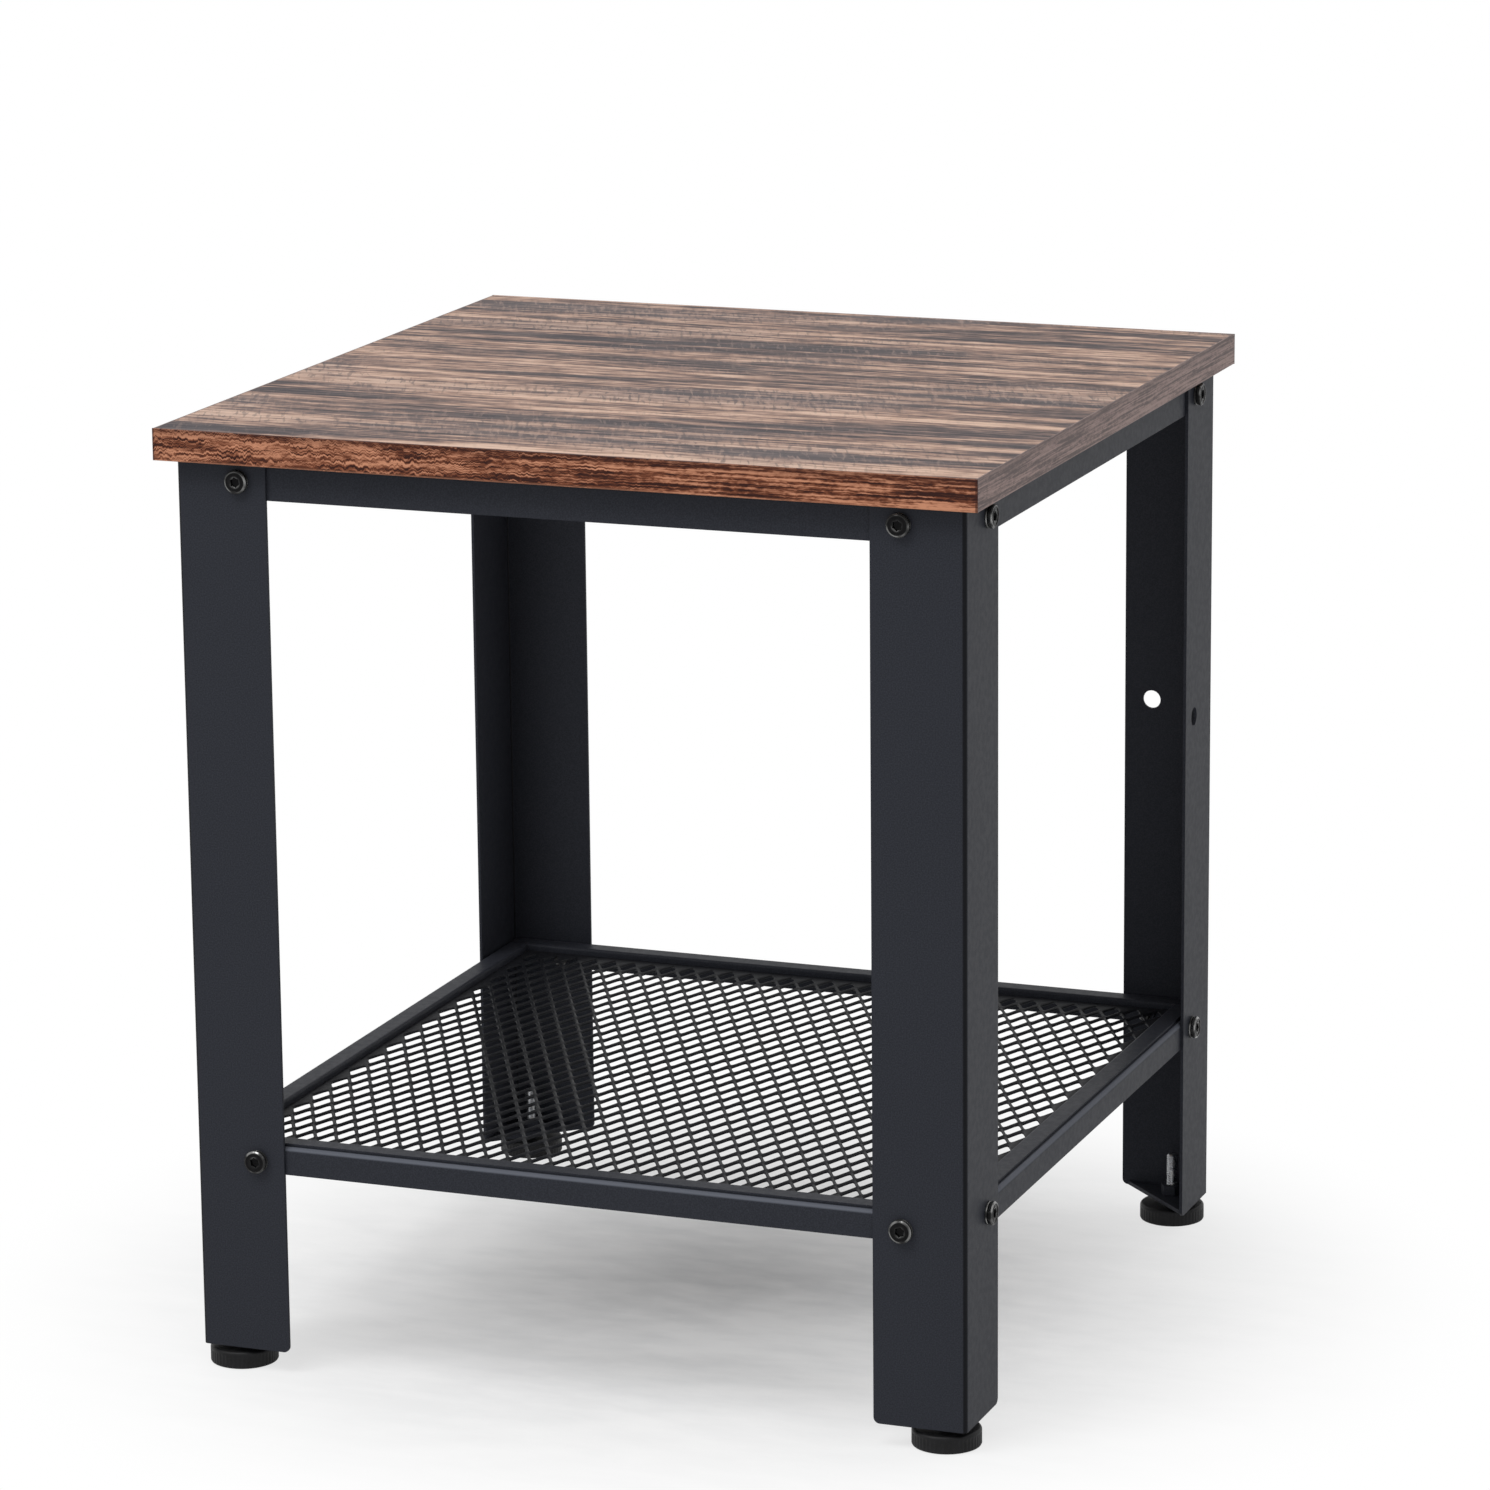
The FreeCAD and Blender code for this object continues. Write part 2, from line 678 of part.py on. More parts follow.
def make_foot_pad(corner, turn):
    body = new_body(f"foot_pad_{corner}")
    outer = size.pad_outer / 2
    neck = size.stud_shank / 2 + size.stud_clearance
    hollow = size.stud_head / 2 + size.stud_clearance
    hollow_top = size.pad_floor + size.stud_head_thick + size.stud_clearance * 2
    outline = sketch_on(body, "XZ_Plane", f"pad_outline_{corner}")
    polygon(outline, [
        (0, 0), (outer, 0), (outer, size.pad_high), (neck, size.pad_high),
        (neck, hollow_top), (hollow, hollow_top), (hollow, size.pad_floor), (0, size.pad_floor),
    ])
    revolve(body, outline)
    round_edges(body, size.pad_top_round, ring_at(outer, size.pad_high))
    round_edges(body, size.pad_bottom_round, ring_at(outer, 0))
    put_at_corner(body, turn, size.foot_inset, 0)
    nodes.append(body)


make_board()
shelf_cut_back = size.bolt_inset - size.leg_sheet + size.bush_outer / 2 + size.bush_room
for side, turn in SIDE_TURNS.items():
    make_edge_band(side, turn)
    make_rail(
        f"top_rail_{side}", turn, size.top_rail_high, size.top_rail_flange, size.top_rail_flange,
        board_bottom - size.top_rail_high, size.top_rail_high - size.top_bolt_drop, has_screws=True,
    )
    shelf_bolt_rise = size.front_bolt_rise if turn % 180 == 0 else size.side_bolt_rise
    make_rail(
        f"shelf_rail_{side}", turn, size.shelf_rail_high, size.shelf_rail_flange, shelf_cut_back,
        size.shelf_height, shelf_bolt_rise, has_screws=False,
    )
    make_rim(side, turn)
for corner, turn in LEG_TURNS.items():
    if corner == SPARE_CORNER:
        nodes.append(make_spare_leg(f"leg_{corner}", turn))
    else:
        nodes.append(fold_leg(f"leg_{corner}", turn, has_spare_holes=False))
    make_foot_plate(corner, turn)
    make_foot_nut(corner, turn)
    make_foot_stud(corner, turn)
    make_foot_pad(corner, turn)
make_mesh()
bolt = make_bolt()
bush = make_bush()
screw = make_screw()
doc.recompute()
top_placements = bolt_placements(top_bolt_height, top_bolt_height)
shelf_placements = bolt_placements(front_bolt_height, side_bolt_height)
make_group("top_bolts", bolt, top_placements)
make_group("shelf_bolts", bolt, shelf_placements)
make_group("top_rail_bushes", bush, top_placements)
make_group("shelf_rail_bushes", bush, shelf_placements)
make_group("board_screws", screw, screw_placements())
doc.recompute()

failed = [item.Name for item in doc.Objects if "Invalid" in item.State or "Error" in item.State]
if failed:
    raise RuntimeError(f"objects that failed: {failed}")
for node in nodes:
    if node.Shape.isNull() or not node.Shape.isValid():
        raise RuntimeError(f"{node.Label} has no valid shape")
    if any(solid.Volume <= 0 for solid in node.Shape.Solids) or not node.Shape.Solids:
        raise RuntimeError(f"{node.Label} has no solid")

os.makedirs("parts", exist_ok=True)
for node in nodes:
    node.Shape.exportStep(f"parts/{node.Label}.step")
print(f"{len(nodes)} nodes, {sum(len(node.Shape.Solids) for node in nodes)} solids")
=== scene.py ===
# %% [markdown]
# # An end table with a mesh shelf
#
# The table is a wood-look board on four folded steel legs, with an expanded-metal shelf near the floor
# and a levelling foot under each leg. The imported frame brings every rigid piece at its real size, so
# this lesson is about finishes, and about the few pieces whose fine form is easier to make as a mesh:
# the rounded strands of the shelf, the lipped bolt heads, the threads and the ribbed feet.

# %% Load the frame
import math

import bpy
from mathutils import Matrix, Vector


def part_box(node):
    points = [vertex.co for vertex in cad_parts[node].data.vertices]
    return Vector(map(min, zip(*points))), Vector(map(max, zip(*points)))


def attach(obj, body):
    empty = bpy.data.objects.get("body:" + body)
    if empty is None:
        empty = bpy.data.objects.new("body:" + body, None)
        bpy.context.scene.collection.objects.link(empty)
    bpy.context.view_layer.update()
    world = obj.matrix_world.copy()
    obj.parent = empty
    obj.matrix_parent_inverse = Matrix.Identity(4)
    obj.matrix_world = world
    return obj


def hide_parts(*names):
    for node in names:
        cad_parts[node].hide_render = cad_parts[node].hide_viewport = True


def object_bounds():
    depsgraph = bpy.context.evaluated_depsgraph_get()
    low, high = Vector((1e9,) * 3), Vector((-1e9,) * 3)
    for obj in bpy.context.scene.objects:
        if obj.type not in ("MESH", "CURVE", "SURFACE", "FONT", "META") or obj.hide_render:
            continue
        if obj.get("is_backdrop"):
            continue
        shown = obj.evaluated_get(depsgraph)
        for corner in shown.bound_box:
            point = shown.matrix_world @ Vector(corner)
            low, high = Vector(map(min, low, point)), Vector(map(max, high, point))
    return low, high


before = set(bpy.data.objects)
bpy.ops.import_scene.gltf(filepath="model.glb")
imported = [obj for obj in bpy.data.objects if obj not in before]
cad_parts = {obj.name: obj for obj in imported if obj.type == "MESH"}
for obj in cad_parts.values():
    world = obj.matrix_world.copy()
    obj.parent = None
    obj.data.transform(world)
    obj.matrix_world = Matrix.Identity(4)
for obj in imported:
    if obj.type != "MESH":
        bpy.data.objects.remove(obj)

cad_low, cad_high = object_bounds()
MM = 0.001
print("table box in metres:", [round(high - low, 4) for low, high in zip(cad_low, cad_high)])

# %% [markdown]
# ## The camera
#
# The picture was taken from in front of the table, a little to its right and above the board, with a
# long lens. A camera can be aimed with a tracking constraint, but a place and three angles say the same
# thing plainly and keep the small tilt of the picture. The lens length assumes the usual 36 mm sensor.

# %% Place the camera
camera_place = Vector((1.0316, -2.6657, 0.9591))
look_left = math.radians(20.895)
look_down = math.radians(13.457)
tilt = math.radians(-0.542)

camera_data = bpy.data.cameras.new("camera")
camera_data.sensor_width = 36.0
camera_data.lens = 146.5
camera = bpy.data.objects.new("camera", camera_data)
bpy.context.collection.objects.link(camera)
turned = Matrix.Rotation(look_left, 4, "Z") @ Matrix.Rotation(math.pi / 2 - look_down, 4, "X")
camera.matrix_world = Matrix.Translation(camera_place) @ turned @ Matrix.Rotation(tilt, 4, "Z")
bpy.context.scene.camera = camera
bpy.context.scene.view_settings.view_transform = "Standard"
print("camera distance:", round(camera_place.length, 3), "m")

# %% [markdown]
# ## A small kit for finishes
#
# Each finish below is a node tree that starts from places on the object, in metres, so a grain or a
# speckle has a real size and stays where it is when the object moves.

# %% Finish kit
class Finish:
    """One material, put together node by node on its principled shader."""

    def __init__(self, name, roughness, specular):
        self.material = bpy.data.materials.new(name)
        self.material.use_nodes = True
        self.tree = self.material.node_tree
        self.shader = self.tree.nodes["Principled BSDF"]
        self.shader.inputs["Roughness"].default_value = roughness
        self.shader.inputs["Specular IOR Level"].default_value = specular

    def feed(self, socket, value):
        """Links an output to a socket, or sets the socket to a plain value."""
        if isinstance(value, bpy.types.NodeSocket):
            self.tree.links.new(value, socket)
        else:
            socket.default_value = value

    def node(self, kind, **sockets):
        """Adds a node with its sockets filled by name."""
        made = self.tree.nodes.new(kind)
        for name, value in sockets.items():
            self.feed(made.inputs[name.replace("_", " ")], value)
        return made

    def places(self, stretch=(1, 1, 1), shift=(0, 0, 0)):
        """Places on the object, in noise cells: so many per metre, and shifted to a part of the noise."""
        coordinates = self.node("ShaderNodeTexCoord").outputs["Object"]
        mapping = self.node("ShaderNodeMapping", Vector=coordinates, Scale=stretch, Location=shift)
        return mapping.outputs["Vector"]

    def noise(self, vector, detail=2.0, roughness=0.5, distortion=0.0):
        """A noise with a mean near one half, one cell for each unit of the vector."""
        made = self.node(
            "ShaderNodeTexNoise", Vector=vector, Scale=1.0, Detail=detail,
            Roughness=roughness, Distortion=distortion,
        )
        return made.outputs["Fac"]

    def ramp(self, value, stops):
        """A run of colours, each stop a place from 0 to 1 and its colour."""
        made = self.node("ShaderNodeValToRGB", Fac=value)
        elements = made.color_ramp.elements
        while len(elements) < len(stops):
            elements.new(1.0)
        for element, (place, colour) in zip(elements, stops):
            element.position = place
            element.color = colour
        return made.outputs["Color"]

    def band(self, value, low, high, to_low=0.0, to_high=1.0):
        """Goes smoothly from to_low to to_high while the value goes from low to high."""
        made = self.node(
            "ShaderNodeMapRange", Value=value, From_Min=low, From_Max=high, To_Min=to_low, To_Max=to_high,
        )
        made.interpolation_type = "SMOOTHSTEP"
        return made.outputs["Result"]

    def calc(self, operation, first, second):
        """One step of arithmetic on two values."""
        made = self.tree.nodes.new("ShaderNodeMath")
        made.operation = operation
        self.feed(made.inputs[0], first)
        self.feed(made.inputs[1], second)
        return made.outputs["Value"]

    def layers(self, *parts):
        """Adds up layers of noise, each with its weight."""
        total = 0.0
        for value, weight in parts:
            total = self.calc("ADD", self.calc("MULTIPLY", value, weight), total)
        return total

    def mix(self, factor, first, second):
        """Two colours mixed; a Mix node keeps its colour sockets behind those for numbers and vectors."""
        made = self.tree.nodes.new("ShaderNodeMix")
        made.data_type = "RGBA"
        self.feed(made.inputs[0], factor)
        self.feed(made.inputs[6], first)
        self.feed(made.inputs[7], second)
        return made.outputs[2]

    def relief(self, height, depth, strength=1.0):
        """Bump on the shader's normal, its depth in metres."""
        made = self.node("ShaderNodeBump", Height=height, Distance=depth, Strength=strength)
        self.feed(self.shader.inputs["Normal"], made.outputs["Normal"])
        return made


print("kit ready")

# %% [markdown]
# Colours below are written as they look on screen, from 0 to 255. Shaders work in linear light, so one
# helper turns such a colour into what they use. A second one hands a carried-over piece its finish.

# %% Colours and dressing
def shade(red, green, blue):
    """A colour as it looks on screen, as the linear values that shaders use."""
    linear = []
    for part in (red, green, blue):
        part = part / 255
        linear.append(part / 12.92 if part <= 0.04045 else ((part + 0.055) / 1.055) ** 2.4)
    return (*linear, 1.0)


def dress(node, material):
    """Gives a carried-over piece its finish."""
    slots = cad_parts[node].data.materials
    slots.clear()
    slots.append(material)


print("pieces to dress:", len(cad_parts))

# %% [markdown]
# ## The board's laminate
#
# The board is chipboard under a printed wood-look laminate. The print has its grain along the front
# edge: broad tan and brown zones, streaks about a centimetre wide, fine fibres, and weathered patches
# where short slanting marks cross the grain like old saw cuts. A scanned picture would be one way to make
# it. Here noise does it, stretched along the grain in layers of different length, and across the grain
# for the cuts, because such a pattern has no seams and no resolution.

# %% Laminate finish
cut_slant, cuts_across, cuts_along = 0.4, 400.0, 70.0
grain_depth = 0.06 * MM


def saw_cuts(finish):
    """Short marks across the grain, about 2 mm wide and 12 mm long, that lean a little."""
    place = finish.node("ShaderNodeSeparateXYZ", Vector=finish.places()).outputs
    leaning = finish.calc("ADD", place["X"], finish.calc("MULTIPLY", place["Y"], cut_slant))
    across = finish.calc("MULTIPLY", leaning, cuts_across)
    along = finish.calc("MULTIPLY", place["Y"], cuts_along)
    spots = finish.node("ShaderNodeCombineXYZ", X=across, Y=along)
    return finish.noise(spots.outputs["Vector"], detail=2, distortion=0.4)


def make_laminate():
    finish = Finish("board_laminate", roughness=0.5, specular=0.05)
    zones = finish.noise(finish.places((2.6, 26, 26), (3.7, 4.45, 0)), detail=2, distortion=0.2)
    streaks = finish.noise(finish.places((6, 115, 115), (0.7, 0.2, 0)), detail=4, distortion=0.3)
    fibres = finish.noise(finish.places((26, 380, 380), (0.3, 5.2, 0)), detail=4, distortion=0.3)
    grit = finish.noise(finish.places((110, 300, 300), (2.3, 1.2, 0)), detail=3)
    weather = finish.noise(finish.places((4.5, 15, 15), (3.1, 1.7, 0)), detail=3, distortion=0.4)
    cuts = saw_cuts(finish)
    tone = finish.layers((zones, 0.28), (streaks, 0.34), (fibres, 0.24), (grit, 0.14))
    colour = finish.ramp(finish.band(tone, 0.415, 0.60), [
        (0.0, shade(70, 64, 67)), (0.25, shade(108, 92, 88)), (0.5, shade(150, 123, 111)),
        (0.75, shade(187, 154, 136)), (1.0, shade(222, 189, 168)),
    ])
    grey_patch = finish.band(weather, 0.50, 0.66, 0.0, 0.35)
    colour = finish.mix(grey_patch, colour, shade(120, 112, 112))
    cut_share = finish.band(weather, 0.44, 0.64, 0.08, 0.7)
    dark_cuts = finish.calc("MULTIPLY", finish.band(cuts, 0.52, 0.68), cut_share)
    pale_cuts = finish.calc("MULTIPLY", finish.band(cuts, 0.46, 0.32, 0.0, 0.5), cut_share)
    colour = finish.mix(dark_cuts, colour, shade(90, 83, 84))
    colour = finish.mix(pale_cuts, colour, shade(186, 160, 147))
    finish.feed(finish.shader.inputs["Base Color"], colour)
    finish.feed(finish.shader.inputs["Roughness"], finish.band(fibres, 0.3, 0.7, 0.56, 0.44))
    finish.relief(finish.calc("SUBTRACT", fibres, dark_cuts), grain_depth)
    return finish.material


laminate = make_laminate()
dress("top_board", laminate)
print("laminate on the board")

# %% [markdown]
# ## The edge bands
#
# Thin bands of the same print are glued round the board. Across the narrow edge the print reads as
# dark crinkled lines and short pale flakes on a redder brown, darker near the upper edge. The lines run
# along each band, so the front and back bands stretch their noise along X and the side bands along Y. A
# second noise pushes the lines up and down, which crinkles them, less so towards the right-hand end. The
# front and back bands cover the ends of the side ones, and the glue leaves a dark seam there. The side
# bands get a greyer, paler copy of the colours, which is painted sheen, and a paler line along the lower
# edge of every band is a painted highlight.

# %% Edge band finishes
band_low, band_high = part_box("edge_band_front")
seam_width, seam_fade = 1.2 * MM, 0.4 * MM
upper_edge, lower_highlight_height = 5.0 * MM, 1.2 * MM
calm_start, calm_end, calm_share = -140 * MM, 100 * MM, 0.15
line_depth = 0.08 * MM


def make_band(name, along_x, crinkle, dark, middle, light):
    finish = Finish(name, roughness=0.5, specular=0.2)

    def lengthwise(along, across, shift=(0, 0, 0)):
        stretch = (along, across, across) if along_x else (across, along, across)
        return finish.places(stretch, shift)

    waves = finish.noise(lengthwise(300, 60, (0.4, 0.2, 0.6)), detail=3, roughness=0.65)
    place = finish.node("ShaderNodeSeparateXYZ", Vector=finish.places()).outputs
    calmer = finish.band(place["X"], calm_start, calm_end, 1.0, calm_share)
    push = finish.calc("MULTIPLY", finish.band(waves, 0.25, 0.75, -crinkle, crinkle), calmer)
    sway = finish.node("ShaderNodeCombineXYZ", Z=push)
    swayed = finish.node("ShaderNodeVectorMath")
    finish.feed(swayed.inputs[0], lengthwise(24, 880))
    finish.feed(swayed.inputs[1], sway.outputs["Vector"])
    lines = finish.noise(swayed.outputs["Vector"], detail=4, roughness=0.65, distortion=0.2)
    flakes = finish.noise(lengthwise(260, 620, (1.0, 3.0, 2.0)), detail=2, distortion=0.6)
    broad = finish.noise(lengthwise(5, 200, (2.0, 1.0, 4.0)), detail=2, distortion=0.4)
    tone = finish.layers((lines, 0.58), (flakes, 0.17), (broad, 0.25))
    colour = finish.ramp(finish.band(tone, 0.42, 0.59), [(0.0, dark), (0.45, middle), (1.0, light)])
    upper = finish.band(place["Z"], band_high.z - upper_edge, band_high.z, 0.0, 0.45)
    colour = finish.mix(upper, colour, dark)
    # A paler line along the lower edge is a painted highlight, where the rounded edge catches light from
    # the floor.
    lower = finish.band(place["Z"], band_low.z + lower_highlight_height, band_low.z, 0.0, 0.5)
    colour = finish.mix(lower, colour, light)
    if along_x:
        from_middle = finish.calc("ABSOLUTE", place["X"], 0.0)
        seam_start = band_high.x - seam_width
        seam = finish.band(from_middle, seam_start, seam_start + seam_fade, 0.0, 0.7)
        colour = finish.mix(seam, colour, shade(52, 20, 14))
    finish.feed(finish.shader.inputs["Base Color"], colour)
    finish.relief(lines, line_depth)
    return finish.material


end_shades = (shade(44, 12, 5), shade(117, 64, 41), shade(204, 142, 110))
# The side bands' colours are greyer and paler than the end bands': painted sheen on the same print.
side_shades_with_sheen = (shade(92, 76, 73), shade(130, 109, 105), shade(164, 139, 132))
end_crinkle, side_crinkle = 1.1, 0.4
end_band = make_band("end_band", True, end_crinkle, *end_shades)
sheen_side_band = make_band("sheen_side_band", False, side_crinkle, *side_shades_with_sheen)
for side in ("front", "back"):
    dress(f"edge_band_{side}", end_band)
for side in ("left", "right"):
    dress(f"edge_band_{side}", sheen_side_band)
print("bands on four edges")

# %% [markdown]
# ## Powder coat
#
# Legs, rails and rim are powder coated after welding, with their nuts and bushes: a charcoal black that
# is almost matt, with a fine sandy skin. The skin is real relief, so it is made as bump in two grain
# sizes, and the colour only varies a little. Paint also rounds every cut edge of the sheet by a fraction
# of a millimetre, which a bevel of the shading normal gives without changing the carried-over pieces.
# A paler grey line is painted along the fold at the top of each shelf rail as a painted highlight, and
# the upright fold of a leg gets a fine dark line as a painted dark reflection. A fold is where the surface
# turns from one face to the next, so its normal is enough to find it.

# %% Powder coat finish
SIDES = ("front", "back", "left", "right")
CORNERS = {"front_left": (-1, -1), "front_right": (1, -1), "back_right": (1, 1), "back_left": (-1, 1)}
skin_depth, skin_strength = 0.03 * MM, 0.15
sheet_round, strand_round = 0.4 * MM, 0.15 * MM
COATED = ["top_rail_bushes", "shelf_rail_bushes"]
for side in SIDES:
    COATED += [f"top_rail_{side}", f"shelf_rim_{side}"]
for corner in CORNERS:
    COATED += [f"foot_plate_{corner}", f"foot_nut_{corner}"]


def painted_rail_highlight(finish, normal):
    """One where a surface turns from upright to level, for the rails' painted highlight."""
    not_level = finish.band(normal["Z"], 0.998, 0.97)
    return finish.calc("MULTIPLY", finish.band(normal["Z"], 0.15, 0.55), not_level)


def painted_dark_fold_line(finish, normal):
    """One where an upright surface turns from one side to the next, for the leg's painted dark reflection.
    """
    both_sides = finish.calc("ABSOLUTE", finish.calc("MULTIPLY", normal["X"], normal["Y"]), 0.0)
    return finish.band(both_sides, 0.2, 0.42)


def make_powder_coat(name, dark, light, edge_round, fold=None, painted_fold_colour=None, painted_fold_strength=0.0):
    finish = Finish(name, roughness=0.46, specular=0.08)
    sand = finish.noise(finish.places((1500, 1500, 1500)), detail=2, roughness=0.6)
    peel = finish.noise(finish.places((330, 330, 330), (0.4, 0.9, 0.1)), detail=1)
    cloud = finish.noise(finish.places((9, 9, 9), (1.4, 0.2, 0.6)), detail=3)
    speckle = finish.band(sand, 0.35, 0.68)
    colour = finish.mix(speckle, dark, light)
    colour = finish.mix(finish.calc("MULTIPLY", cloud, 0.35), colour, light)
    # Along a fold the colour takes a painted highlight on the rails and a painted dark reflection on the
    # legs.
    if fold:
        facing = finish.node("ShaderNodeNewGeometry").outputs["Normal"]
        normal = finish.node("ShaderNodeSeparateXYZ", Vector=facing).outputs
        painted_fold_mask = finish.calc("MULTIPLY", fold(finish, normal), painted_fold_strength)
        colour = finish.mix(painted_fold_mask, colour, painted_fold_colour)
    finish.feed(finish.shader.inputs["Base Color"], colour)
    finish.feed(finish.shader.inputs["Roughness"], finish.band(peel, 0.3, 0.7, 0.44, 0.50))
    height = finish.layers((sand, 0.6), (peel, 0.6))
    bump = finish.relief(height, skin_depth, skin_strength)
    rounding = finish.node("ShaderNodeBevel", Radius=edge_round)
    rounding.samples = 4
    finish.feed(bump.inputs["Normal"], rounding.outputs["Normal"])
    return finish.material


coat = (shade(42, 44, 50), shade(53, 55, 62), sheet_round)
powder_coat = make_powder_coat("powder_coat", *coat)
# The shelf rails' paler fold line is a painted highlight.
rail_coat_painted_highlight = make_powder_coat("rail_coat_painted_highlight", *coat, painted_rail_highlight, shade(108, 112, 122), 0.75)
# The legs' dark fold line is a painted dark reflection.
leg_coat_painted_dark_fold = make_powder_coat("leg_coat_painted_dark_fold", *coat, painted_dark_fold_line, shade(12, 12, 14), 0.8)
for node in COATED:
    dress(node, powder_coat)
for side in SIDES:
    dress(f"shelf_rail_{side}", rail_coat_painted_highlight)
for corner in CORNERS:
    dress(f"leg_{corner}", leg_coat_painted_dark_fold)
print("powder coat on", len(COATED) + len(SIDES) + len(CORNERS), "pieces")

# %% [markdown]
# ## The shelf's strands
#
# Expanded metal is slit and stretched from one sheet, so its strands are narrow ribbons that join at
# knuckles, and paint leaves them with soft edges. A wireframe modifier could draw such a net, but it
# would give square bars of one width. Here one cell is a ring of points between an opening and the
# diamond of strand middles round it, swept over the strand's rounded section, and repeated.

# %% Measure the sheet
mesh_low, mesh_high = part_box("shelf_mesh")
pitch_wide, pitch_long = 11 * MM, 22 * MM
strand_width, knuckle_length = 1.8 * MM, 6.4 * MM
least_border = 1.0 * MM
edge_x, edge_y = mesh_high.x, mesh_high.y
pairs = int((edge_x - least_border) * 2 / pitch_wide)
rows = int((edge_y - least_border) * 2 / pitch_long)
print("openings:", pairs * rows + (pairs - 1) * (rows - 1))

# %% [markdown]
# The opening's corner at its side and the blunt end at its tip follow from the pitch, the strand and
# the knuckle. A quarter of the outline is enough, because the other three are mirror images.

# %% One opening and its diamond
def mirrored(quarter):
    """Closes a quarter outline, from the +X axis to the +Y axis, to a whole one."""
    half = quarter + [(-x, y) for x, y in quarter[-2::-1]]
    return half + [(x, -y) for x, y in half[-2:0:-1]]


half_wide, half_long = pitch_wide / 2, pitch_long / 2
slant = math.hypot(half_wide, half_long)
opening_side = half_wide - strand_width * slant / (2 * half_long)
opening_tip = half_long - knuckle_length / 2
tip_side = opening_side - opening_tip * half_wide / half_long
side_blunt, side_turn, tip_turn = 0.97, 0.16, 0.88
STRAND_STOPS = (0.0, 0.3, 0.7, 1.0)


def along_side(share):
    """A point of the opening's straight side, from its corner at share 0 to its tip at share 1."""
    return (opening_side + (tip_side - opening_side) * share, opening_tip * share)


side_corner = (opening_side * side_blunt, 0)
opening = mirrored([side_corner, along_side(side_turn), along_side(tip_turn), (0, opening_tip)])
diamond = mirrored([(half_wide * (1 - share), half_long * share) for share in STRAND_STOPS])
print("points round an opening:", len(opening))

# %% [markdown]
# The section goes over the strand from its middle, down into the opening and back under. Each step says
# how far the ring lies from the opening's wall towards the strand's middle, and how deep it is. The
# stretching also twists every strand, so one edge of an opening stands higher than the other.

# %% Repeat the cell over the sheet
top_z, bottom_z = mesh_high.z, mesh_low.z
strand_lift = 0.65 * MM
SECTION = [
    (1.0, 0.0), (0.45, 0.04), (0.08, 0.22), (0.0, 0.45),
    (0.0, 0.62), (0.12, 0.84), (0.5, 0.97), (1.0, 1.0),
]


def cell_ring(middle_x, middle_y, share, depth):
    """One ring of a cell, between the opening's wall and the middle of the strands."""
    level = top_z + (bottom_z - top_z) * depth
    ring = []
    for (hole_x, hole_y), (rim_x, rim_y) in zip(opening, diamond):
        x = middle_x + hole_x + (rim_x - hole_x) * share
        y = middle_y + hole_y + (rim_y - hole_y) * share
        lift = strand_lift * hole_x / opening_side * (1 - share)
        ring.append((x, y, level + lift))
    return ring


sheet_points, sheet_faces = [], []
for column in range(pairs * 2 - 1):
    for row in range(column % 2, rows * 2 - 1, 2):
        middle_x = (column + 1 - pairs) * half_wide
        middle_y = (row + 1 - rows) * half_long
        first = len(sheet_points)
        count = len(opening)
        for share, depth in SECTION:
            sheet_points += cell_ring(middle_x, middle_y, share, depth)
        for level in range(len(SECTION) - 1):
            for index in range(count):
                here = first + level * count + index
                following = first + level * count + (index + 1) % count
                sheet_faces.append((here, following, following + count, here + count))
print("cells:", len(sheet_faces), "faces")

# %% [markdown]
# Round the field of openings the sheet stays whole. The cells end there in a zigzag, which half diamonds
# fill along each side. They take their points from the strands, so that cell and plate share every edge.

# %% Fill the zigzag
field_x, field_y = pairs * half_wide, rows * half_long


def add_plate(outline):
    """A flat piece of the sheet, with its upper and lower face."""
    first = len(sheet_points)
    count = len(outline)
    sheet_points.extend((x, y, top_z) for x, y in outline)
    sheet_points.extend((x, y, bottom_z) for x, y in outline)
    sheet_faces.append(tuple(range(first, first + count)))
    sheet_faces.append(tuple(range(first + count * 2 - 1, first + count - 1, -1)))


def strand_points(start, end):
    """The points along a strand's middle where neighbouring cells meet."""
    return [tuple(a + (b - a) * share for a, b in zip(start, end)) for share in STRAND_STOPS]


for sign in (-1, 1):
    for row in range(1, rows * 2 - 1, 2):
        y = (row + 1 - rows) * half_long
        knuckle = (sign * (field_x - half_wide), y)
        corners = [(sign * field_x, y - sign * half_long), (sign * field_x, y + sign * half_long)]
        add_plate(strand_points(knuckle, corners[0]) + strand_points(corners[1], knuckle)[:-1])
    for column in range(1, pairs * 2 - 1, 2):
        x = (column + 1 - pairs) * half_wide
        knuckle = (x, sign * (field_y - half_long))
        corners = [(x + sign * half_wide, sign * field_y), (x - sign * half_wide, sign * field_y)]
        add_plate(strand_points(knuckle, corners[0]) + strand_points(corners[1], knuckle)[:-1])
    for other in (-1, 1):
        last_side = (sign * field_x, other * (field_y - half_long))
        last_end = (sign * (field_x - half_wide), other * field_y)
        corner = [(sign * field_x, other * field_y)] + strand_points(last_end, last_side)
        add_plate(corner if sign * other > 0 else corner[::-1])
print("field of openings:", round(field_x * 2, 4), "by", round(field_y * 2, 4), "m")

# %% [markdown]
# A flat border runs from the field to the sheet's cut edge under the rim, where the sheet is welded. It is
# divided where the cell tips meet it, because a point in the middle of a longer edge would leave a crack.

# %% Run the border
def border_places(edge, field, pitch, count):
    """Where cell tips meet the border along one side, each with its place on the outer edge."""
    inner = [-field] + [-field + pitch * (index + 0.5) for index in range(count)] + [field]
    return list(zip(inner, [-edge] + inner[1:-1] + [edge]))


